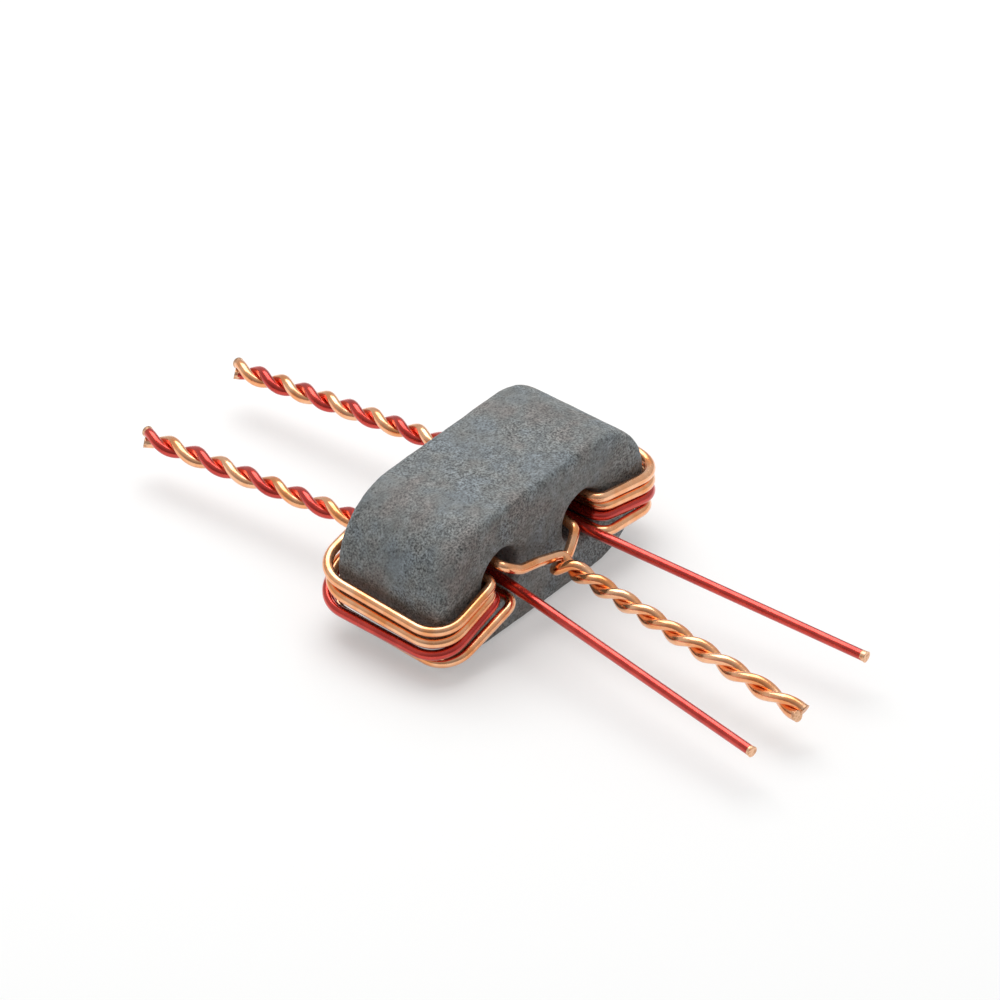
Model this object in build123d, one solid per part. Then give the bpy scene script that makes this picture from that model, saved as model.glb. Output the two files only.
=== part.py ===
from build123d import *
import os
from math import asin, atan2, ceil, cos, degrees, pi, radians, sin, tan

# An rf balun: a two-hole ferrite core wound with two copper-coloured and two red enamelled wires.
# Millimetres. The holes run along Y, the front of the core faces -Y, and the core stands on z = 0.

# Ferrite core
CORE_WIDTH = 5.0
CORE_DEPTH = 2.1
CORE_HEIGHT = 2.4
EDGE_ROUND = 0.12
HOLE_DIAMETER = 0.85
HOLE_PITCH = 1.93
HOLE_HEIGHT = 1.15
MOUTH_CHAMFER = 0.09

# Enamelled wire: round wire drawn with flats, mitred at each small bend
WIRE_DIAMETER = 0.17
WIRE_GAP = 0.01
WIRE_SIDES = 10
BEND_STEP_DEGREES = 24
RINGS_A_TURN = 8

# Bends of the loops and leads, and how far the loops stand off the rounded ends
FRONT_CORNER_BEND = 0.47
BACK_CORNER_BEND = 0.55
END_STANDOFF = 0.1
BACK_STANDOFF = 0.155
LAST_LOOP_TUCK = 0.17
LEAD_BEND = 0.1

# Heights of the loops at an end's corners, from the top one down: copper, copper, red, copper
LEFT_FRONT_HEIGHTS = (0.96, 0.74, 0.52, 0.29)
LEFT_BACK_HEIGHTS = (1.16, 0.92, 0.6, 0.47)
RIGHT_FRONT_HEIGHTS = (1.2, 1.0, 0.8, 0.66)
RIGHT_BACK_HEIGHTS = (1.46, 1.15, 0.8, 0.45)

# Places of the wires round a hole's wall, in wires from the third copper pass:
# the first and second copper pass, the red wire's return and the last copper pass
LEFT_THIRD_PASS_DEGREES = 197
LEFT_PASS_SHARES = (-3.35, -1.05, 1.06, 2.12)
RIGHT_THIRD_PASS_DEGREES = 172
RIGHT_PASS_SHARES = (-2.6, -1.35, 1.06, 2.12)

# Front ends of the wires that come in from the leads, outward and up from the hole's middle
LEFT_COPPER_ENTRY = (0.12, 0.27)
RIGHT_COPPER_ENTRY = (-0.32, 0.03)
LEFT_RED_ENTRY = (0.0, -0.1)
RIGHT_RED_ENTRY = (-0.1, -0.1)
RED_BACK_RISE = 0.13

# Front leads, along X, Y and Z: the red ones from their mouths, the copper ones from the core's face
LEFT_RED_REACH = (-0.615, -5.303, -0.31)
RIGHT_RED_REACH = (0.505, -5.153, -0.3)
LEFT_COPPER_BENDS = ((-0.79, -0.19, 1.25), (-0.4, -0.23, 1.2))
RIGHT_COPPER_BENDS = ((0.5, -0.16, 1.05), (0.3, -0.22, 0.89), (-0.19, -0.29, 0.89))
FRONT_PAIR_START = (0.02, -0.27, 1.02)
FRONT_PAIR_REACH = (-0.32, -5.05, -0.33)
FRONT_PAIR_TURNS = 4.6
FRONT_PAIR_PHASE_DEGREES = 43
FRONT_PAIR_EASE_SHARE = 0.22
HOOK_RINGS = 2

# Back leads: twisted pairs that rise to a knee behind the hole and hang from there
BACK_KNEE_RUN = 0.8
LEFT_KNEE_RISE = 0.06
RIGHT_KNEE_RISE = 0.08
LEFT_PAIR_REACH = (-0.223, 3.9, -0.18)
RIGHT_PAIR_REACH = (-0.245, 3.98, -0.28)
LEFT_PAIR_TURNS = 4.28
LEFT_PAIR_SLACK_SHARE = 0.1
RIGHT_PAIR_TURNS = 5.5
RIGHT_PAIR_SLACK_SHARE = 0

# What follows from the sizes above
WIRE_RADIUS = WIRE_DIAMETER / 2
LAYER = WIRE_DIAMETER + WIRE_GAP
WALL_RING = HOLE_DIAMETER / 2 - WIRE_RADIUS - WIRE_GAP
WALL_STEP_DEGREES = 2 * degrees(asin(LAYER / 2 / WALL_RING))
FACE = CORE_DEPTH / 2
FACE_RUN = FACE + WIRE_RADIUS + WIRE_GAP
END_RUN = CORE_WIDTH / 2 + WIRE_RADIUS + END_STANDOFF
MOUTH_BEND = MOUTH_CHAMFER + WIRE_RADIUS + WIRE_GAP
PAIR_RADIUS = LAYER / 2 / cos(pi / RINGS_A_TURN)
LEFT, RIGHT = -1, 1
FRONT, BACK = -1, 1
LEFT_HAND, RIGHT_HAND = -1, 1


def ferrite_core():
    """The pressed block: a stadium profile with rounded edges and two holes with broken mouths."""
    profile = Pos(0, CORE_HEIGHT / 2) * SlotOverall(CORE_WIDTH, CORE_HEIGHT)
    places = Pos(0, HOLE_HEIGHT) * GridLocations(HOLE_PITCH, 0, 2, 1)
    profile -= [place * Circle(HOLE_DIAMETER / 2) for place in places]
    block = extrude(Plane.XZ * profile, FACE, both=True)
    face_edges = block.faces().filter_by(Axis.Y).edges()
    mouths = face_edges.filter_by(lambda edge: edge.is_closed)
    block = fillet(face_edges - mouths, EDGE_ROUND)
    mouths = block.edges().filter_by(lambda edge: edge.is_closed and edge.geom_type == GeomType.CIRCLE)
    return chamfer(mouths, MOUTH_CHAMFER)


def from_hole(side, outward, up):
    """A place in a hole as X and Z, from its offset outward and up from the hole's middle."""
    return side * (HOLE_PITCH / 2 + outward), HOLE_HEIGHT + up


def on_wall(side, degrees_round):
    """A place against a hole's wall, from its turn round the hole that starts inward and goes up."""
    angle = radians(degrees_round)
    return from_hole(side, -WALL_RING * cos(angle), WALL_RING * sin(angle))


def wall_places(side, third_pass_degrees, shares):
    """The places of the first, second and third copper pass, the red return and the last copper pass."""
    first, second, red_return, last = shares
    turns = (first, second, 0, red_return, last)
    return [on_wall(side, third_pass_degrees + turn * WALL_STEP_DEGREES) for turn in turns]


def at_mouth(place, end, layers=0):
    """The turning point of a wire outside a hole mouth, a number of layers off the core's face."""
    x, z = place
    return Vector(x, end * (FACE_RUN + layers * LAYER), z)


def off_front(place):
    """A point given along X and Z, and along Y from the core's front face."""
    x, y, z = place
    return Vector(x, y - FACE, z)


def loop(side, back_height, front_height, leaves, enters, back_layers=0, front_layers=0, tuck=0):
    """The turning points of one loop, out of the back of a hole, round the end and into the front."""
    x = side * (END_RUN - tuck)
    return [
        (at_mouth(leaves, BACK, back_layers), MOUTH_BEND),
        (Vector(x, FACE_RUN + BACK_STANDOFF - tuck / 2, back_height), BACK_CORNER_BEND - tuck),
        (Vector(x, -FACE_RUN - END_STANDOFF, front_height), FRONT_CORNER_BEND),
        (at_mouth(enters, FRONT, front_layers), MOUTH_BEND),
    ]


def rounded(turns):
    """The centreline through turning points, each one rounded in short steps by its own bend."""
    points = [turns[0][0]]
    for (before, _), (corner, bend), (after, _) in zip(turns, turns[1:], turns[2:]):
        into, out = (corner - before).normalized(), (after - corner).normalized()
        angle = into.get_angle(out)
        steps = ceil(angle / BEND_STEP_DEGREES)
        start = corner - into * (bend * tan(radians(angle / 2)))
        inward = (out - into * into.dot(out)).normalized() * bend
        for step in range(steps + 1):
            swing = radians(angle * step / steps)
            points.append(start + inward * (1 - cos(swing)) + into * (bend * sin(swing)))
    return points + [turns[-1][0]]


def strand(axis, turns, hand, phase_degrees, ease_share=0, slack_share=0):
    """The centreline of one wire of a twisted pair along an axis of straight runs.

    The twist eases towards the tip by one share, and starts after another share of the length.
    """
    path = Polyline(*axis)
    along = (axis[-1] - axis[-2]).normalized()
    rise = (Vector(0, 0, 1) - along * along.Z).normalized()
    across = rise.cross(along)
    count = round(turns * RINGS_A_TURN / (1 - slack_share))
    points = []
    for ring in range(count + 1):
        share = ring / count
        twisted = max(share - slack_share, 0) / (1 - slack_share)
        eased = twisted + ease_share * twisted * (1 - twisted)
        angle = radians(phase_degrees) + hand * 2 * pi * turns * eased
        points.append(path @ share + (across * cos(angle) + rise * sin(angle)) * PAIR_RADIUS)
    return points


def back_pair(copper_place, red_place, knee_rise, reach, turns, slack_share):
    """The copper and the red strand of the pair behind one hole, from where the wires leave it."""
    copper, red = at_mouth(copper_place, BACK), at_mouth(red_place, BACK)
    start = (copper + red) / 2
    knee = start + Vector(0, BACK_KNEE_RUN, knee_rise)
    axis = [start, knee, knee + Vector(*reach)]
    phase = degrees(atan2(copper.Z - start.Z, start.X - copper.X))
    return [strand(axis, turns, RIGHT_HAND, phase + half, 0, slack_share) for half in (0, 180)]


def round_wire(points):
    """A wire along a centreline."""
    section = Plane(origin=points[0], z_dir=points[1] - points[0]) * RegularPolygon(WIRE_RADIUS, WIRE_SIDES)
    return sweep(section, Polyline(*points), transition=Transition.RIGHT)


def copper_wire(side, places, entry, back_heights, front_heights, bends, front_strand, back_strand):
    """One copper wire: its front lead, four passes of the hole with three loops between, its back lead."""
    first, second, third, _, last = places
    turns = [(front_strand[0], 0)]
    turns += [(off_front(bend), LEAD_BEND) for bend in reversed(bends)]
    turns += [(at_mouth(from_hole(side, *entry), FRONT), LEAD_BEND)]
    turns += loop(side, back_heights[0], front_heights[0], first, second, 1)
    turns += loop(side, back_heights[1], front_heights[1], second, third)
    turns += loop(side, back_heights[3], front_heights[3], third, last, 0, 1, LAST_LOOP_TUCK)
    return round_wire(front_strand[:0:-1] + rounded(turns + [(back_strand[0], 0)]) + back_strand[1:])


def red_wire(side, places, entry, back_height, front_height, reach, back_strand):
    """One red wire: its straight front lead, two passes of the hole with a loop between, its back lead."""
    mouth = at_mouth(from_hole(side, *entry), FRONT)
    turns = [(mouth + Vector(*reach), 0), (mouth, LEAD_BEND)]
    turns += loop(side, back_height, front_height, from_hole(side, 0, RED_BACK_RISE), places[3], 1)
    return round_wire(rounded(turns + [(back_strand[0], 0)]) + back_strand[1:])


def balun():
    """Every piece by its node's name."""
    start = off_front(FRONT_PAIR_START)
    axis = [start, start + Vector(*FRONT_PAIR_REACH)]
    left_front, right_front = [
        strand(axis, FRONT_PAIR_TURNS, LEFT_HAND, FRONT_PAIR_PHASE_DEGREES + half, FRONT_PAIR_EASE_SHARE)
        for half in (0, 180)
    ]
    left = wall_places(LEFT, LEFT_THIRD_PASS_DEGREES, LEFT_PASS_SHARES)
    right = wall_places(RIGHT, RIGHT_THIRD_PASS_DEGREES, RIGHT_PASS_SHARES)
    left_copper, left_red = back_pair(
        left[4], left[3], LEFT_KNEE_RISE, LEFT_PAIR_REACH, LEFT_PAIR_TURNS, LEFT_PAIR_SLACK_SHARE
    )
    right_copper, right_red = back_pair(
        right[4], right[3], RIGHT_KNEE_RISE, RIGHT_PAIR_REACH, RIGHT_PAIR_TURNS, RIGHT_PAIR_SLACK_SHARE
    )
    return {
        "ferrite_core": ferrite_core(),
        "left_copper_wire": copper_wire(
            LEFT, left, LEFT_COPPER_ENTRY, LEFT_BACK_HEIGHTS, LEFT_FRONT_HEIGHTS,
            LEFT_COPPER_BENDS, left_front, left_copper,
        ),
        "left_red_wire": red_wire(
            LEFT, left, LEFT_RED_ENTRY, LEFT_BACK_HEIGHTS[2], LEFT_FRONT_HEIGHTS[2], LEFT_RED_REACH, left_red
        ),
        "right_copper_wire": copper_wire(
            RIGHT, right, RIGHT_COPPER_ENTRY, RIGHT_BACK_HEIGHTS, RIGHT_FRONT_HEIGHTS,
            RIGHT_COPPER_BENDS, right_front[HOOK_RINGS:], right_copper,
        ),
        "right_red_wire": red_wire(
            RIGHT, right, RIGHT_RED_ENTRY, RIGHT_BACK_HEIGHTS[2], RIGHT_FRONT_HEIGHTS[2], RIGHT_RED_REACH, right_red
        ),
    }


os.makedirs("parts", exist_ok=True)
for node, shape in balun().items():
    export_step(shape, f"parts/{node}.step")
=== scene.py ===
"""Dresses the rf balun: a two-hole ferrite core wound with copper-coloured and red enamelled wires."""

import logging
import math
from collections.abc import Iterator, Sequence
from dataclasses import dataclass
from enum import Enum
from typing import Any

import bmesh
import bpy
from mathutils import Matrix, Vector, noise


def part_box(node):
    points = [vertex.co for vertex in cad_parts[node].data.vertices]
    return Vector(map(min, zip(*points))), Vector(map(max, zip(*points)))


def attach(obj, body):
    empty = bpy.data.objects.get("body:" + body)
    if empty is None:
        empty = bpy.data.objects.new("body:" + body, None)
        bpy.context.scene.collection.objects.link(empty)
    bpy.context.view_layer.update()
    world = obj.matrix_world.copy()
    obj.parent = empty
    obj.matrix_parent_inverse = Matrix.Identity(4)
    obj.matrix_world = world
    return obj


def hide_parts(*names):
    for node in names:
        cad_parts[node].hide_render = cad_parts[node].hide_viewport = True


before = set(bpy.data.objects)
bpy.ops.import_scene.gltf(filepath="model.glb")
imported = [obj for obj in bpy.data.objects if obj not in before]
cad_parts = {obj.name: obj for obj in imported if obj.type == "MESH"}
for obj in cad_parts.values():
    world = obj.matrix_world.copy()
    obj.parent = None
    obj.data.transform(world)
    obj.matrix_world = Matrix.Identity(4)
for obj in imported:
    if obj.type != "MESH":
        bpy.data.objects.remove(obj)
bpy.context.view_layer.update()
LOG = logging.getLogger("rf balun")
MM = 0.001
# Points closer together than this share of a piece's own detail are one point.
SAME_PLACE_SHARE = 0.01
RANGE_LIMITS = ("From Min", "From Max", "To Min", "To Max")
HALF_TURN_DEGREES = 180

Span = tuple[float, float]
Stops = tuple[tuple[float, str], ...]
Place = tuple[float, float]
Point = tuple[float, float, float]
Heights = tuple[float, float, float, float]
Turn = tuple[Vector, float]


class Side(Enum):
    """The end of the core that a wire is wound on, as the sign of its X."""

    LEFT = -1
    RIGHT = 1


class Hand(Enum):
    """The way a pair is twisted, as the sign of its turn along the lead."""

    LEFT = -1
    RIGHT = 1


class Slot(Enum):
    """The record's material slots."""

    FERRITE = "ferrite"
    COPPER = "copper_enamel"
    RED = "red_enamel"


class Loop(Enum):
    """A loop's number in the stack on one end of the core, from the top."""

    FIRST_COPPER = 0
    SECOND_COPPER = 1
    RED = 2
    LAST_COPPER = 3


class Surface(Enum):
    """A wire's two materials, as their numbers in its mesh."""

    ENAMEL = 0
    CUT = 1


def linear(code: str) -> tuple[float, float, float, float]:
    """Turns an sRGB hex colour into linear light.

    Args:
        code: six hex digits after a hash.

    Returns:
        Red, green, blue and an alpha of 1.
    """
    values = [int(code[i : i + 2], 16) / 255 for i in (1, 3, 5)]
    red, green, blue = [v / 12.92 if v <= 0.04045 else ((v + 0.055) / 1.055) ** 2.4 for v in values]
    return red, green, blue, 1.0


def add_node(
    tree: bpy.types.NodeTree,
    kind: str,
    inputs: dict[str | int, Any] | None = None,
    stops: Sequence[tuple[float, str]] = (),
    **settings: Any,
) -> Any:
    """Adds a node with its settings, and sets or links its inputs.

    Args:
        tree: the node tree.
        kind: the node's type.
        inputs: a value, or another node's output, for each input by name or number.
        stops: a colour ramp's places and hex colours, in order.
        settings: the node's own properties.

    Returns:
        The new node.
    """
    made = tree.nodes.new(kind)
    for name, value in settings.items():
        setattr(made, name, value)
    for key, value in (inputs or {}).items():
        if isinstance(value, bpy.types.NodeSocket):
            tree.links.new(value, made.inputs[key])
        else:
            made.inputs[key].default_value = value
    for _ in range(len(stops) - 2):
        made.color_ramp.elements.new(0.5)
    for number, (place, code) in enumerate(stops):
        made.color_ramp.elements[number].position = place
        made.color_ramp.elements[number].color = linear(code)
    return made


def new_material(name: str) -> tuple[bpy.types.Material, bpy.types.NodeTree, bpy.types.Node]:
    """Starts a material.

    Args:
        name: the real material's name.

    Returns:
        The material, its node tree and its shader.
    """
    material = bpy.data.materials.new(name)
    material.use_nodes = True
    tree = material.node_tree
    return material, tree, tree.nodes["Principled BSDF"]


@dataclass(frozen=True)
class FiredFerrite:
    """Pressed and fired ferrite: a dull grey ceramic, tinted brown to faint blue, with a fine dark grain."""

    patch_mm: float = 1.1
    patch_span: Span = (0.35, 0.65)
    tint_mm: float = 0.7
    tints: Stops = ((0.36, "#6E6A67"), (0.5, "#6C6F6E"), (0.64, "#6A7175"))
    mottle_mm: float = 0.16
    mottle_span: Span = (0.3, 0.7)
    mottle_shades: Span = (0.74, 1.26)
    grain_mm: float = 0.034
    grain_span: Span = (0.36, 0.64)
    grain_depths: Span = (0.25, 0.8)
    grain_height_mm: float = 0.012
    speck_mm: float = 0.075
    speck_span: Span = (0.1, 0.32)
    speck_shades: Span = (0.3, 1.0)
    detail: float = 2.0
    mottle_detail: float = 3.0
    noise_roughness: float = 0.6
    bump: float = 0.8
    roughness: float = 0.6
    ior: float = 1.6

    def material(self) -> bpy.types.Material:
        """Makes the material: tints of grey, shaded by mottle, grain and specks, with the grain as bump.

        Returns:
            The material.
        """
        # Fired powder scatters light: an even, dull grey without a clear highlight, peppered with dark pores.
        material, tree, shader = new_material("fired ferrite")
        place = add_node(tree, "ShaderNodeTexCoord").outputs["Object"]
        # Real ferrite grains are about a hundredth of a millimetre: drawn as coarse as they show here.
        patches, tint, mottle, grain = (
            add_node(
                tree,
                "ShaderNodeTexNoise",
                {
                    "Vector": place,
                    "Scale": 1 / (size * MM),
                    "Detail": detail,
                    "Roughness": self.noise_roughness,
                },
            ).outputs["Fac"]
            for size, detail in (
                (self.patch_mm, self.detail),
                (self.tint_mm, self.detail),
                (self.mottle_mm, self.mottle_detail),
                (self.grain_mm, self.detail),
            )
        )
        specks = add_node(
            tree, "ShaderNodeTexVoronoi", {"Vector": place, "Scale": 1 / (self.speck_mm * MM)}, feature="F1"
        ).outputs["Distance"]
        # The press polishes the powder in places, so the grain comes and goes from patch to patch.
        limits = dict(zip(RANGE_LIMITS, (*self.patch_span, *self.grain_depths)))
        depth = add_node(tree, "ShaderNodeMapRange", {"Value": patches, **limits}).outputs["Result"]
        faint = add_node(tree, "ShaderNodeMath", {0: 1.0, 1: depth}, operation="SUBTRACT").outputs["Value"]
        strong = add_node(tree, "ShaderNodeMath", {0: 1.0, 1: depth}, operation="ADD").outputs["Value"]
        shade: Any = 1.0
        for value, span, shades in (
            (mottle, self.mottle_span, self.mottle_shades),
            (grain, self.grain_span, (faint, strong)),
            (specks, self.speck_span, self.speck_shades),
        ):
            limits = dict(zip(RANGE_LIMITS, (*span, *shades)))
            part = add_node(tree, "ShaderNodeMapRange", {"Value": value, **limits}).outputs["Result"]
            product = add_node(tree, "ShaderNodeMath", {0: shade, 1: part}, operation="MULTIPLY")
            shade = product.outputs["Value"]
        base = add_node(tree, "ShaderNodeValToRGB", {"Fac": tint}, stops=self.tints).outputs["Color"]
        colour = add_node(tree, "ShaderNodeVectorMath", {"Vector": base, "Scale": shade}, operation="SCALE")
        bump = add_node(
            tree,
            "ShaderNodeBump",
            {"Strength": self.bump, "Distance": self.grain_height_mm * MM, "Height": grain},
        )
        tree.links.new(colour.outputs["Vector"], shader.inputs["Base Color"])
        tree.links.new(bump.outputs["Normal"], shader.inputs["Normal"])
        shader.inputs["Roughness"].default_value = self.roughness
        shader.inputs["IOR"].default_value = self.ior
        return material


@dataclass(frozen=True)
class WireEnamel:
    """Baked enamel on drawn copper wire, clear or tinted."""

    name: str
    colour: str
    thick_colour: str
    metallic: float
    roughness: float
    coat: float = 0.8
    coat_roughness: float = 0.06
    run_mm: float = 0.35
    run_span: Span = (0.35, 0.62)
    scuff_mm: float = 0.045
    scuff_span: Span = (0.4, 0.75)
    scuff_dulling: float = 1.8
    scuff_height_mm: float = 0.0012
    detail: float = 2.0
    noise_roughness: float = 0.6
    bump: float = 0.5

    def material(self) -> bpy.types.Material:
        """Makes the material: bright metal under a smooth coat that is thicker in runs and lightly scuffed.

        Returns:
            The material.
        """
        # The metal shines through the coat: a bright line with a softer, deeper colour beside it.
        material, tree, shader = new_material(self.name)
        place = add_node(tree, "ShaderNodeTexCoord").outputs["Object"]
        # Scuffs on real enamel are finer still: drawn as coarse as they show here.
        runs, scuffs = (
            add_node(
                tree,
                "ShaderNodeTexNoise",
                {
                    "Vector": place,
                    "Scale": 1 / (size * MM),
                    "Detail": self.detail,
                    "Roughness": self.noise_roughness,
                },
            ).outputs["Fac"]
            for size in (self.run_mm, self.scuff_mm)
        )
        stops = tuple(zip(self.run_span, (self.thick_colour, self.colour)))
        colour = add_node(tree, "ShaderNodeValToRGB", {"Fac": runs}, stops=stops)
        scuffed = self.roughness * self.scuff_dulling
        limits = dict(zip(RANGE_LIMITS, (*self.scuff_span, self.roughness, scuffed)))
        dullness = add_node(tree, "ShaderNodeMapRange", {"Value": scuffs, **limits})
        bump = add_node(
            tree,
            "ShaderNodeBump",
            {"Strength": self.bump, "Distance": self.scuff_height_mm * MM, "Height": scuffs},
        )
        tree.links.new(colour.outputs["Color"], shader.inputs["Base Color"])
        tree.links.new(dullness.outputs["Result"], shader.inputs["Roughness"])
        tree.links.new(bump.outputs["Normal"], shader.inputs["Normal"])
        shader.inputs["Metallic"].default_value = self.metallic
        shader.inputs["Coat Weight"].default_value = self.coat
        shader.inputs["Coat Roughness"].default_value = self.coat_roughness
        return material


# Clear enamel lets the copper through: cream in the light, orange where the coat is thick.
CLEAR_ENAMEL = WireEnamel(
    name="copper wire, clear enamel",
    colour="#FDC093",
    thick_colour="#F39C5C",
    metallic=1.0,
    roughness=0.17,
)

# Red enamel hides more of the copper: a deep red that keeps the metal's sharp highlight.
RED_ENAMEL = WireEnamel(
    name="copper wire, red enamel",
    colour="#D03D2F",
    thick_colour="#BB2B20",
    metallic=0.9,
    roughness=0.18,
)


@dataclass(frozen=True)
class CutCopper:
    """Bare copper at a snipped wire end."""

    colour: str = "#F3C4A0"
    torn_colour: str = "#D09A74"
    roughness: float = 0.38
    tear_mm: float = 0.05
    tear_span: Span = (0.38, 0.56)
    tear_height_mm: float = 0.008
    detail: float = 2.0
    bump: float = 0.7

    def material(self) -> bpy.types.Material:
        """Makes the material: bare metal with the marks of the blades.

        Returns:
            The material.
        """
        # The blades leave a pale, pinkish face with darker torn flecks.
        material, tree, shader = new_material("bare cut copper")
        place = add_node(tree, "ShaderNodeTexCoord").outputs["Object"]
        tears = add_node(
            tree,
            "ShaderNodeTexNoise",
            {"Vector": place, "Scale": 1 / (self.tear_mm * MM), "Detail": self.detail},
        ).outputs["Fac"]
        stops = tuple(zip(self.tear_span, (self.torn_colour, self.colour)))
        colour = add_node(tree, "ShaderNodeValToRGB", {"Fac": tears}, stops=stops)
        bump = add_node(
            tree,
            "ShaderNodeBump",
            {"Strength": self.bump, "Distance": self.tear_height_mm * MM, "Height": tears},
        )
        tree.links.new(colour.outputs["Color"], shader.inputs["Base Color"])
        tree.links.new(bump.outputs["Normal"], shader.inputs["Normal"])
        shader.inputs["Metallic"].default_value = 1.0
        shader.inputs["Roughness"].default_value = self.roughness
        return material


def unit_noise(place: Vector, size: float) -> float:
    """Returns smooth noise from 0 to 1 that changes over about a size."""
    return noise.noise(place / size) * 0.5 + 0.5


def join_piece(name: str, mesh: bpy.types.Mesh, node: str, slot: Slot) -> None:
    """Puts a finished mesh in the scene in place of its solid.

    Args:
        name: the piece's name.
        mesh: the mesh, in the row's frame and in metres.
        node: the CAD node that it stands for.
        slot: the material slot that the piece stands for; not used.
    """
    piece = bpy.data.objects.new(name, mesh)
    bpy.context.scene.collection.objects.link(piece)
    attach(piece, "root")
    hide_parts(node)
    LOG.info("%s: %d faces", name, len(mesh.polygons))


@dataclass
class FerriteCore:
    """The pressed block with its two holes, roughened from the solid. Sizes in millimetres."""

    voxel: float = 0.03
    smoothing_rounds: int = 24
    smoothing_factor: float = 0.5
    hollow_size: float = 0.3
    hollow_depth: float = 0.012
    grit_size: float = 0.07
    grit_depth: float = 0.006

    def build(self) -> bpy.types.Mesh:
        """Meshes the solid evenly and roughens it inwards.

        Returns:
            The core's mesh, in metres.
        """
        mesh = self._even_mesh(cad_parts["ferrite_core"].data)
        bm = bmesh.new()
        bm.from_mesh(mesh)
        for _ in range(self.smoothing_rounds):
            bmesh.ops.smooth_vert(
                bm,
                verts=bm.verts,
                factor=self.smoothing_factor,
                use_axis_x=True,
                use_axis_y=True,
                use_axis_z=True,
            )
        bm.normal_update()
        for vert in bm.verts:
            hollow = unit_noise(vert.co, self.hollow_size)
            grit = unit_noise(vert.co, self.grit_size)
            vert.co -= vert.normal * (hollow * self.hollow_depth + grit * self.grit_depth)
        bmesh.ops.scale(bm, verts=bm.verts, vec=(MM, MM, MM))
        for face in bm.faces:
            face.smooth = True
        bm.to_mesh(mesh)
        bm.free()
        return mesh

    def dress(self, mesh: bpy.types.Mesh, ferrite: bpy.types.Material) -> None:
        """Gives the core its finish and puts it in place of its solid.

        Args:
            mesh: the core's mesh.
            ferrite: its material.
        """
        mesh.materials.append(ferrite)
        join_piece("core_fired_ferrite", mesh, "ferrite_core", Slot.FERRITE)

    def _even_mesh(self, solid: bpy.types.Mesh) -> bpy.types.Mesh:
        """Remeshes a merged copy of the solid at a thousand times its size.

        Args:
            solid: the CAD node's mesh, in metres.

        Returns:
            An even mesh in millimetres.
        """
        bm = bmesh.new()
        bm.from_mesh(solid)
        bmesh.ops.scale(bm, verts=bm.verts, vec=(1 / MM, 1 / MM, 1 / MM))
        bmesh.ops.remove_doubles(bm, verts=bm.verts, dist=self.voxel * SAME_PLACE_SHARE)
        merged = bpy.data.meshes.new("core, merged")
        bm.to_mesh(merged)
        bm.free()
        holder = bpy.data.objects.new("core, merged", merged)
        bpy.context.scene.collection.objects.link(holder)
        remesh = holder.modifiers.new("even", "REMESH")
        remesh.mode = "VOXEL"
        remesh.voxel_size = self.voxel
        graph = bpy.context.evaluated_depsgraph_get()
        even = bpy.data.meshes.new_from_object(holder.evaluated_get(graph))
        bpy.data.objects.remove(holder)
        bpy.data.meshes.remove(merged)
        return even


@dataclass(frozen=True)
class CoreSizes:
    """The core's sizes that the windings follow, in millimetres."""

    width: float
    depth: float
    hole_diameter: float = 0.85
    hole_pitch: float = 1.93
    hole_height: float = 1.15
    mouth_chamfer: float = 0.09

    @classmethod
    def from_frame(cls) -> "CoreSizes":
        """Takes the outer sizes from the solid."""
        low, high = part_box("ferrite_core")
        return cls(width=(high.x - low.x) / MM, depth=(high.y - low.y) / MM)

    @property
    def face(self) -> float:
        """The distance of the front and back face from the middle."""
        return self.depth / 2


@dataclass(frozen=True)
class Gauge:
    """The wire's size, and how closely the runs are laid, in millimetres."""

    diameter: float = 0.17
    gap: float = 0.01
    front_corner_bend: float = 0.47
    back_corner_bend: float = 0.55
    end_standoff: float = 0.1
    back_standoff: float = 0.155
    last_loop_tuck: float = 0.17
    lead_bend: float = 0.1
    bend_step_degrees: float = 8.0
    rings_a_turn: int = 24
    point_spacing: float = 0.03
    easing_rounds: int = 6
    roundness: int = 6
    bare_tip: float = 0.025
    tip_flare: float = 1.1
    tip_press: float = 0.003

    @property
    def radius(self) -> float:
        """Half the diameter."""
        return self.diameter / 2

    @property
    def layer(self) -> float:
        """The distance between the middles of two runs side by side."""
        return self.diameter + self.gap


@dataclass(frozen=True)
class Twist:
    """How a pair of wires is twisted along its lead."""

    turns: float
    hand: Hand
    ease_share: float = 0.0
    slack_share: float = 0.0


@dataclass(frozen=True)
class Lay:
    """How the wires lie on one side of the core, in millimetres, with heights from the top loop down.

    The shares say how many wire widths round the hole's wall a pass lies from the third one. The first
    hook_rings of the front strand are left out, where the wire hooks round its partner into the hole.
    """

    side: Side
    third_pass_degrees: float
    pass_shares: tuple[float, float, float, float]
    front_heights: Heights
    back_heights: Heights
    copper_entry: Place
    copper_bends: tuple[Point, ...]
    hook_rings: int
    red_entry: Place
    red_reach: Point
    knee_rise: float
    pair_reach: Point
    pair_twist: Twist
    red_back_rise: float = 0.13
    knee_run: float = 0.8


LEFT_LAY = Lay(
    side=Side.LEFT,
    third_pass_degrees=197.0,
    pass_shares=(-3.35, -1.05, 1.06, 2.12),
    front_heights=(0.96, 0.74, 0.52, 0.29),
    back_heights=(1.16, 0.92, 0.6, 0.47),
    copper_entry=(0.12, 0.27),
    copper_bends=((-0.79, -0.19, 1.25), (-0.4, -0.23, 1.2)),
    hook_rings=0,
    red_entry=(0.0, -0.1),
    red_reach=(-0.615, -5.303, -0.31),
    knee_rise=0.06,
    pair_reach=(-0.223, 3.9, -0.18),
    pair_twist=Twist(turns=4.28, hand=Hand.RIGHT, slack_share=0.1),
)

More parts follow.
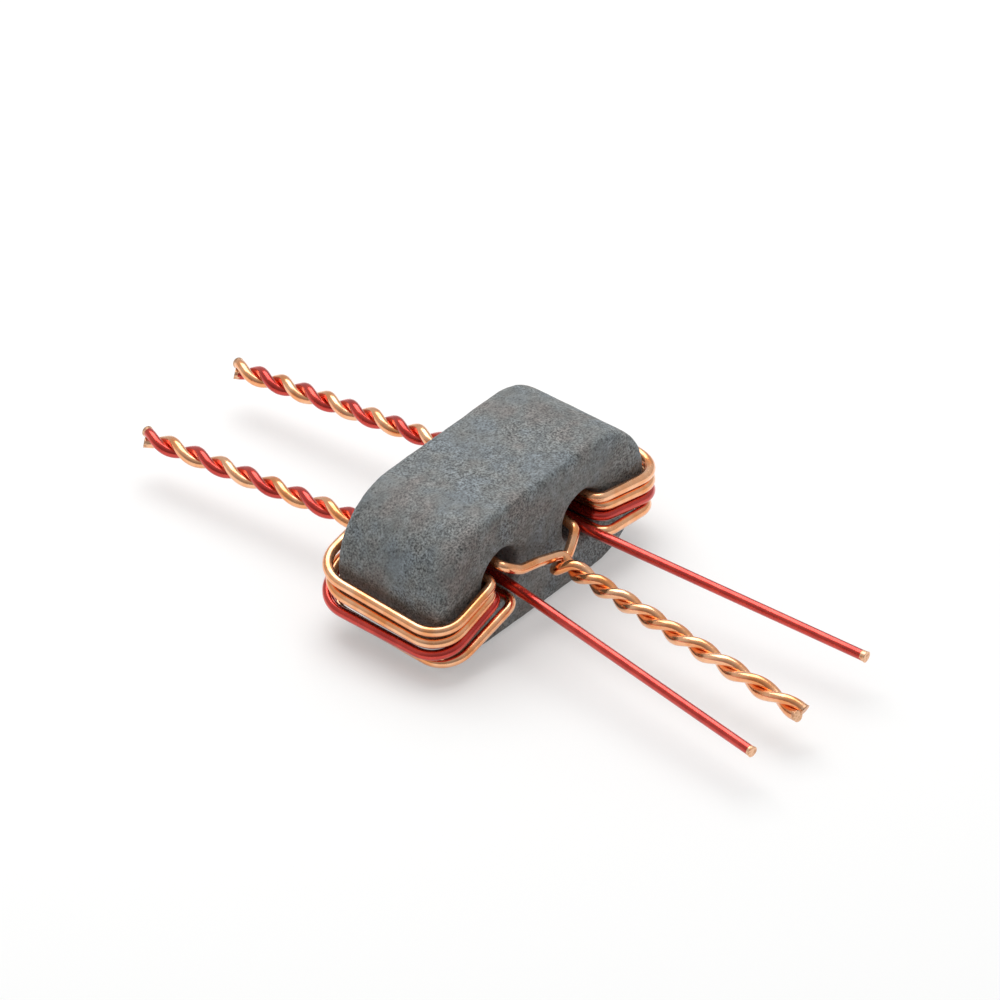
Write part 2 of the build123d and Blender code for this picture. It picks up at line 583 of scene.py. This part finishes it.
RIGHT_LAY = Lay(
    side=Side.RIGHT,
    third_pass_degrees=172.0,
    pass_shares=(-2.6, -1.35, 1.06, 2.12),
    front_heights=(1.2, 1.0, 0.8, 0.66),
    back_heights=(1.46, 1.15, 0.8, 0.45),
    copper_entry=(-0.32, 0.03),
    copper_bends=((0.5, -0.16, 1.05), (0.3, -0.22, 0.89), (-0.19, -0.29, 0.89)),
    hook_rings=6,
    red_entry=(-0.1, -0.1),
    red_reach=(0.505, -5.153, -0.3),
    knee_rise=0.08,
    pair_reach=(-0.245, 3.98, -0.28),
    pair_twist=Twist(turns=5.5, hand=Hand.RIGHT),
)


@dataclass(frozen=True)
class FrontPair:
    """The middle lead: the two copper wires twisted together, in millimetres from the core's front face."""

    start: Point = (0.02, -0.27, 1.02)
    reach: Point = (-0.32, -5.05, -0.33)
    phase_degrees: float = 43.0
    twist: Twist = Twist(turns=4.6, hand=Hand.LEFT, ease_share=0.22)


class Router:
    """Works out the centrelines of the four wires on a core, in millimetres."""

    def __init__(self, core: CoreSizes, gauge: Gauge, front_pair: FrontPair) -> None:
        """Keeps the sizes.

        Args:
            core: the core's sizes.
            gauge: the wire's sizes.
            front_pair: the middle lead.
        """
        self.core = core
        self.gauge = gauge
        self.front_pair = front_pair
        self.face_run = core.face + gauge.radius + gauge.gap
        self.end_run = core.width / 2 + gauge.radius + gauge.end_standoff
        self.wall_ring = core.hole_diameter / 2 - gauge.radius - gauge.gap
        self.wall_step = 2 * math.degrees(math.asin(gauge.layer / 2 / self.wall_ring))
        self.mouth_bend = core.mouth_chamfer + gauge.radius + gauge.gap

    def from_hole(self, lay: Lay, outward: float, up: float) -> Place:
        """Returns a place in a hole as X and Z, from its offset outward and up from the hole's middle."""
        return lay.side.value * (self.core.hole_pitch / 2 + outward), self.core.hole_height + up

    def wall_places(self, lay: Lay) -> list[Place]:
        """Finds where the wires lie against a hole's wall.

        Args:
            lay: how the wires lie on this side.

        Returns:
            The places of the first, second and third copper pass, the red return and the last copper pass.
        """
        first, second, red_return, last = lay.pass_shares
        places = []
        for share in (first, second, 0.0, red_return, last):
            angle = math.radians(lay.third_pass_degrees + share * self.wall_step)
            outward, up = -self.wall_ring * math.cos(angle), self.wall_ring * math.sin(angle)
            places.append(self.from_hole(lay, outward, up))
        return places

    def at_front(self, place: Place, layers: int = 0) -> Vector:
        """Returns the turning point of a wire outside a front mouth, some layers off the face."""
        return Vector((place[0], -self.face_run - layers * self.gauge.layer, place[1]))

    def at_back(self, place: Place, layers: int = 0) -> Vector:
        """Returns the turning point of a wire outside a back mouth, some layers off the face."""
        return Vector((place[0], self.face_run + layers * self.gauge.layer, place[1]))

    def off_front(self, place: Point) -> Vector:
        """Returns a point given along X and Z, and along Y from the core's front face."""
        return Vector((place[0], place[1] - self.core.face, place[2]))

    def loop(
        self,
        lay: Lay,
        which: Loop,
        leaves: Place,
        enters: Place,
        back_layers: int = 0,
        front_layers: int = 0,
        tuck: float = 0.0,
    ) -> list[Turn]:
        """Lays one loop, out of the back of a hole, round the end and into the front.

        Args:
            lay: how the wires lie on this side.
            which: the loop in the stack.
            leaves: the place in the hole that it leaves.
            enters: the place in the hole that it enters.
            back_layers: how many layers it stands off the back mouth.
            front_layers: how many layers it stands off the front mouth.
            tuck: how far it is drawn in under the other loops.

        Returns:
            Its turning points, each with its bend.
        """
        x = lay.side.value * (self.end_run - tuck)
        back = Vector((x, self.face_run + self.gauge.back_standoff - tuck / 2, lay.back_heights[which.value]))
        front = Vector((x, -self.face_run - self.gauge.end_standoff, lay.front_heights[which.value]))
        return [
            (self.at_back(leaves, back_layers), self.mouth_bend),
            (back, self.gauge.back_corner_bend - tuck),
            (front, self.gauge.front_corner_bend),
            (self.at_front(enters, front_layers), self.mouth_bend),
        ]

    def rounded(self, turns: Sequence[Turn]) -> list[Vector]:
        """Rounds each turning point by its own bend.

        Args:
            turns: turning points with their bends. The first and last have none.

        Returns:
            Points along the line.
        """
        points = [turns[0][0]]
        for (before, _), (corner, bend), (after, _) in zip(turns, turns[1:], turns[2:]):
            into, out = (corner - before).normalized(), (after - corner).normalized()
            angle = into.angle(out)
            steps = max(1, math.ceil(math.degrees(angle) / self.gauge.bend_step_degrees))
            start = corner - into * (bend * math.tan(angle / 2))
            inward = (out - into * into.dot(out)).normalized() * bend
            for step in range(steps + 1):
                swing = angle * step / steps
                points.append(start + inward * (1 - math.cos(swing)) + into * (bend * math.sin(swing)))
        return points + [turns[-1][0]]

    def strand(self, axis: Sequence[Vector], twist: Twist, phase_degrees: float) -> list[Vector]:
        """Winds one wire of a twisted pair round its axis.

        Args:
            axis: the axis's corner points.
            twist: the pair's twist.
            phase_degrees: where the wire starts round the axis.

        Returns:
            Points along the wire.
        """
        ahead = (axis[-1] - axis[-2]).normalized()
        rise = (Vector((0, 0, 1)) - ahead * ahead.z).normalized()
        across = rise.cross(ahead)
        count = round(twist.turns * self.gauge.rings_a_turn / (1 - twist.slack_share))
        points = []
        for ring in range(count + 1):
            share = ring / count
            twisted = max(share - twist.slack_share, 0) / (1 - twist.slack_share)
            eased = twisted + twist.ease_share * twisted * (1 - twisted)
            angle = math.radians(phase_degrees) + twist.hand.value * math.tau * twist.turns * eased
            offset = (across * math.cos(angle) + rise * math.sin(angle)) * self.gauge.radius
            points.append(self.point_at(axis, share) + offset)
        return points

    @staticmethod
    def length(points: Sequence[Vector]) -> float:
        """Returns the length of a line through points."""
        return sum((b - a).length for a, b in zip(points, points[1:]))

    def point_at(self, axis: Sequence[Vector], share: float) -> Vector:
        """Finds the point at a share of a line's length.

        Args:
            axis: the line's corner points.
            share: how far along it, from 0 to 1.

        Returns:
            The point.
        """
        left = share * self.length(axis)
        for a, b in zip(axis, axis[1:]):
            run = (b - a).length
            if left <= run:
                return a.lerp(b, left / run)
            left -= run
        return axis[-1].copy()

    def front_strand(self, lay: Lay) -> list[Vector]:
        """Winds this side's wire of the middle lead.

        Args:
            lay: how the wires lie on this side.

        Returns:
            Points along the wire, from the core to the tip.
        """
        start = self.off_front(self.front_pair.start)
        axis = [start, start + Vector(self.front_pair.reach)]
        phase = self.front_pair.phase_degrees + (0 if lay.side is Side.LEFT else HALF_TURN_DEGREES)
        return self.strand(axis, self.front_pair.twist, phase)[lay.hook_rings :]

    def back_strands(self, lay: Lay) -> tuple[list[Vector], list[Vector]]:
        """Winds the pair behind one hole.

        Args:
            lay: how the wires lie on this side.

        Returns:
            The copper and the red strand, from the hole to the tip.
        """
        _, _, _, red_place, copper_place = self.wall_places(lay)
        copper, red = self.at_back(copper_place), self.at_back(red_place)
        start = (copper + red) / 2
        knee = start + Vector((0, lay.knee_run, lay.knee_rise))
        axis = [start, knee, knee + Vector(lay.pair_reach)]
        phase = math.degrees(math.atan2(copper.z - start.z, start.x - copper.x))
        copper_strand = self.strand(axis, lay.pair_twist, phase)
        return copper_strand, self.strand(axis, lay.pair_twist, phase + HALF_TURN_DEGREES)

    def copper_line(self, lay: Lay) -> list[Vector]:
        """Lays a copper wire: its front lead, four passes of the hole with three loops between, a back lead.

        Args:
            lay: how the wires lie on this side.

        Returns:
            Even points along the wire.
        """
        first, second, third, _, last = self.wall_places(lay)
        front, (back, _) = self.front_strand(lay), self.back_strands(lay)
        turns = [(front[0], 0.0)]
        turns += [(self.off_front(bend), self.gauge.lead_bend) for bend in reversed(lay.copper_bends)]
        turns += [(self.at_front(self.from_hole(lay, *lay.copper_entry)), self.gauge.lead_bend)]
        turns += self.loop(lay, Loop.FIRST_COPPER, first, second, back_layers=1)
        turns += self.loop(lay, Loop.SECOND_COPPER, second, third)
        tuck = self.gauge.last_loop_tuck
        turns += self.loop(lay, Loop.LAST_COPPER, third, last, front_layers=1, tuck=tuck)
        turns += [(back[0], 0.0)]
        return self.eased(front[:0:-1] + self.rounded(turns) + back[1:])

    def red_line(self, lay: Lay) -> list[Vector]:
        """Lays a red wire: its straight front lead, two passes of the hole with a loop between, a back lead.

        Args:
            lay: how the wires lie on this side.

        Returns:
            Even points along the wire.
        """
        _, _, _, red_return, _ = self.wall_places(lay)
        _, back = self.back_strands(lay)
        mouth = self.at_front(self.from_hole(lay, *lay.red_entry))
        turns = [(mouth + Vector(lay.red_reach), 0.0), (mouth, self.gauge.lead_bend)]
        leaves = self.from_hole(lay, 0.0, lay.red_back_rise)
        turns += self.loop(lay, Loop.RED, leaves, red_return, back_layers=1)
        turns += [(back[0], 0.0)]
        return self.eased(self.rounded(turns) + back[1:])

    def evenly_spaced(self, points: Sequence[Vector]) -> list[Vector]:
        """Spaces the points of a line evenly.

        Args:
            points: points along the line.

        Returns:
            Even points along the line, with the same ends.
        """
        length = self.length(points)
        count = round(length / self.gauge.point_spacing)
        even, run, index = [points[0]], 0.0, 0
        for number in range(1, count):
            target = number * (length / count)
            step = (points[index + 1] - points[index]).length
            while run + step < target:
                run += step
                index += 1
                step = (points[index + 1] - points[index]).length
            even.append(points[index].lerp(points[index + 1], (target - run) / step))
        return [*even, points[-1]]

    def eased(self, points: Sequence[Vector]) -> list[Vector]:
        """Eases the kinks of a line, as drawn wire springs.

        Args:
            points: points along the line.

        Returns:
            Even points along the eased line, with the same ends.
        """
        even = self.evenly_spaced(points)
        for _ in range(self.gauge.easing_rounds):
            inner = [(a + b * 2 + c) / 4 for a, b, c in zip(even, even[1:], even[2:])]
            even = [even[0], *inner, even[-1]]
        return even


@dataclass
class Wire:
    """One continuous enamelled wire, drawn as a round tube along its centreline."""

    name: str
    node: str
    slot: Slot
    line: list[Vector]
    gauge: Gauge

    def build(self) -> bpy.types.Mesh:
        """Sweeps the wire's section along its line.

        Returns:
            The wire's mesh, in metres. Faces of its cut ends take the second material.
        """
        curve = bpy.data.curves.new(self.name, "CURVE")
        curve.dimensions = "3D"
        curve.twist_mode = "MINIMUM"
        curve.bevel_depth = self.gauge.radius
        curve.bevel_resolution = self.gauge.roundness
        curve.use_fill_caps = True
        spline = curve.splines.new("POLY")
        spline.points.add(len(self.line) - 1)
        for point, place in zip(spline.points, self.line):
            point.co = (*place, 1.0)
        holder = bpy.data.objects.new(self.name, curve)
        bpy.context.scene.collection.objects.link(holder)
        graph = bpy.context.evaluated_depsgraph_get()
        mesh = bpy.data.meshes.new_from_object(holder.evaluated_get(graph))
        bpy.data.objects.remove(holder)
        bpy.data.curves.remove(curve)
        self._finish(mesh)
        return mesh

    def _finish(self, mesh: bpy.types.Mesh) -> None:
        """Merges the tube's seams, flares and bares its snipped ends, and brings it to metres.

        Args:
            mesh: the tube, in millimetres.
        """
        bm = bmesh.new()
        bm.from_mesh(mesh)
        bmesh.ops.remove_doubles(bm, verts=bm.verts, dist=self.gauge.radius * SAME_PLACE_SHARE)
        bmesh.ops.recalc_face_normals(bm, faces=bm.faces)
        for face in bm.faces:
            face.smooth = True
            face.material_index = Surface.ENAMEL.value
        for tip, inner in ((self.line[0], self.line[1]), (self.line[-1], self.line[-2])):
            self._snip(bm, tip, (tip - inner).normalized())
        bmesh.ops.scale(bm, verts=bm.verts, vec=(MM, MM, MM))
        mesh.materials.clear()
        bm.to_mesh(mesh)
        bm.free()

    def _snip(self, bm: bmesh.types.BMesh, tip: Vector, along: Vector) -> None:
        """Flares an end and presses it back, as a cutter's blades do, and bares it to a ragged edge.

        Args:
            bm: the tube, in millimetres.
            tip: the middle of the end.
            along: the way that the end points.
        """
        near = self.gauge.radius + self.gauge.bare_tip
        level = near * SAME_PLACE_SHARE
        rim = {v for v in bm.verts if (v.co - tip).length < near and abs((v.co - tip).dot(along)) < level}
        for vert in rim:
            vert.co = tip + (vert.co - tip) * self.gauge.tip_flare - along * self.gauge.tip_press
        for face in bm.faces:
            place = face.calc_center_median()
            ragged = noise.noise(place / self.gauge.bare_tip) * self.gauge.bare_tip / 2
            at_end = rim.issuperset(face.verts)
            if at_end or (place - tip).length + ragged < near:
                face.material_index = Surface.CUT.value
            if at_end:
                face.smooth = False

    def dress(self, mesh: bpy.types.Mesh, finishes: dict[Surface, bpy.types.Material]) -> None:
        """Gives the wire its finishes and puts it in place of its solid.

        Args:
            mesh: the wire's mesh.
            finishes: the materials of its length and of its cut ends.
        """
        for surface in Surface:
            mesh.materials.append(finishes[surface])
        join_piece(self.name, mesh, self.node, self.slot)


@dataclass(frozen=True)
class Studio:
    """The pale floor, the soft light and the camera. Lengths in millimetres, angles in degrees."""

    floor_size: float = 400.0
    floor_colour: str = "#F8F8F7"
    floor_roughness: float = 0.9
    floor_specular: float = 0.1
    floor_glow: float = 0.33
    glow_colour: str = "#FFFFFF"
    sky: Stops = ((0.0, "#EEEFF0"), (0.5, "#F2F3F4"), (1.0, "#FFFFFF"))
    sky_strength: float = 0.67
    dark_side: float = 0.5
    dark_span: Span = (0.25, 0.85)
    softbox_place: Point = (13.0, 17.0, 55.0)
    softbox_size: float = 53.0
    softbox_watts: float = 0.0262
    camera_azimuth: float = -50.4
    camera_elevation: float = 36.6
    camera_distance: float = 300.0
    camera_lens: float = 704.0
    camera_reach: Span = (10.0, 2000.0)
    aim_height: float = 1.2
    aim_right: float = 0.138
    aim_up: float = 0.27

    def build(self) -> None:
        """Makes the floor, the sky, the softbox and the camera."""
        self._floor()
        self._world()
        self._softbox()
        self._camera()

    def _floor(self) -> None:
        """Makes the floor, a sheet of paper that glows a little where it is seen."""
        bm = bmesh.new()
        bmesh.ops.create_grid(bm, x_segments=1, y_segments=1, size=self.floor_size * MM / 2)
        mesh = bpy.data.meshes.new("floor")
        bm.to_mesh(mesh)
        bm.free()
        # Matt paper gives the eye an even white, and its glow keeps the shadows on it pale.
        material, tree, shader = new_material("matt white paper")
        shader.inputs["Base Color"].default_value = linear(self.floor_colour)
        shader.inputs["Roughness"].default_value = self.floor_roughness
        shader.inputs["Specular IOR Level"].default_value = self.floor_specular
        path = add_node(tree, "ShaderNodeLightPath").outputs
        seen: Any = path["Is Camera Ray"]
        for ray in ("Is Glossy Ray", "Is Transmission Ray"):
            either = add_node(tree, "ShaderNodeMath", {0: seen, 1: path[ray]}, operation="MAXIMUM")
            seen = either.outputs["Value"]
        share = add_node(tree, "ShaderNodeMath", {0: seen, 1: self.floor_glow}, operation="MULTIPLY")
        white = add_node(tree, "ShaderNodeEmission", {"Color": linear(self.glow_colour), "Strength": 1.0})
        paper = add_node(
            tree,
            "ShaderNodeMixShader",
            {0: share.outputs["Value"], 1: shader.outputs["BSDF"], 2: white.outputs["Emission"]},
        )
        tree.links.new(paper.outputs["Shader"], tree.nodes["Material Output"].inputs["Surface"])
        mesh.materials.append(material)
        floor = bpy.data.objects.new("floor", mesh)
        bpy.context.scene.collection.objects.link(floor)

    def _world(self) -> None:
        """Lights the scene with a plain pale sky that is darker on the camera's side."""
        world = bpy.data.worlds.new("studio")
        world.use_nodes = True
        tree = world.node_tree
        direction = add_node(tree, "ShaderNodeTexCoord").outputs["Generated"]
        height = add_node(tree, "ShaderNodeSeparateXYZ", {"Vector": direction}).outputs["Z"]
        sky = add_node(tree, "ShaderNodeValToRGB", {"Fac": height}, stops=self.sky)
        tree.links.new(sky.outputs["Color"], tree.nodes["Background"].inputs["Color"])
        azimuth = math.radians(self.camera_azimuth)
        front = (math.sin(azimuth), -math.cos(azimuth), 0.0)
        facing = add_node(tree, "ShaderNodeVectorMath", {0: direction, 1: front}, operation="DOT_PRODUCT")
        strengths = (self.sky_strength, self.sky_strength * self.dark_side)
        limits = dict(zip(RANGE_LIMITS, (*self.dark_span, *strengths)))
        strength = add_node(tree, "ShaderNodeMapRange", {"Value": facing.outputs["Value"], **limits})
        tree.links.new(strength.outputs["Result"], tree.nodes["Background"].inputs["Strength"])
        bpy.context.scene.world = world

    def _softbox(self) -> None:
        """Hangs a soft square light over the core and turns it to look at it."""
        lamp = bpy.data.lights.new("overhead softbox", "AREA")
        lamp.shape = "SQUARE"
        lamp.size = self.softbox_size * MM
        lamp.energy = self.softbox_watts
        light = bpy.data.objects.new("overhead softbox", lamp)
        place = Vector(self.softbox_place)
        light.location = place * MM
        light.rotation_mode = "QUATERNION"
        light.rotation_quaternion = (-place).to_track_quat("-Z", "Y")
        bpy.context.scene.collection.objects.link(light)

    def _camera(self) -> None:
        """Sets the camera at the photograph's angle, far off with a long lens."""
        azimuth, elevation = math.radians(self.camera_azimuth), math.radians(self.camera_elevation)
        level = math.cos(elevation)
        back = Vector((math.sin(azimuth) * level, -math.cos(azimuth) * level, math.sin(elevation)))
        right = Vector((math.cos(azimuth), math.sin(azimuth), 0))
        up = back.cross(right)
        aim = Vector((0, 0, self.aim_height)) + right * self.aim_right + up * self.aim_up
        data = bpy.data.cameras.new("camera")
        data.lens = self.camera_lens
        data.clip_start, data.clip_end = (reach * MM for reach in self.camera_reach)
        camera = bpy.data.objects.new("camera", data)
        turned = Matrix((right, up, back)).transposed().to_4x4()
        camera.matrix_world = Matrix.Translation((aim + back * self.camera_distance) * MM) @ turned
        bpy.context.scene.collection.objects.link(camera)
        bpy.context.scene.camera = camera


def wires(router: Router, gauge: Gauge) -> Iterator[Wire]:
    """Lays out the four wires.

    Args:
        router: works out their lines.
        gauge: the wire's sizes.

    Yields:
        Each wire, ready to build.
    """
    for lay in (LEFT_LAY, RIGHT_LAY):
        copper = f"{lay.side.name.lower()}_copper"
        yield Wire(f"{copper}_enamelled", f"{copper}_wire", Slot.COPPER, router.copper_line(lay), gauge)
        red = f"{lay.side.name.lower()}_red"
        yield Wire(f"{red}_enamelled", f"{red}_wire", Slot.RED, router.red_line(lay), gauge)


def main() -> None:
    """Builds and dresses the balun, then the studio round it."""
    logging.basicConfig(level=logging.INFO)
    bpy.context.scene.view_settings.view_transform = "Standard"
    core = FerriteCore()
    core.dress(core.build(), FiredFerrite().material())
    gauge = Gauge()
    router = Router(CoreSizes.from_frame(), gauge, FrontPair())
    cut = CutCopper().material()
    enamels = {Slot.COPPER: CLEAR_ENAMEL.material(), Slot.RED: RED_ENAMEL.material()}
    for wire in wires(router, gauge):
        wire.dress(wire.build(), {Surface.ENAMEL: enamels[wire.slot], Surface.CUT: cut})
    Studio().build()


if __name__ == "__main__":
    main()
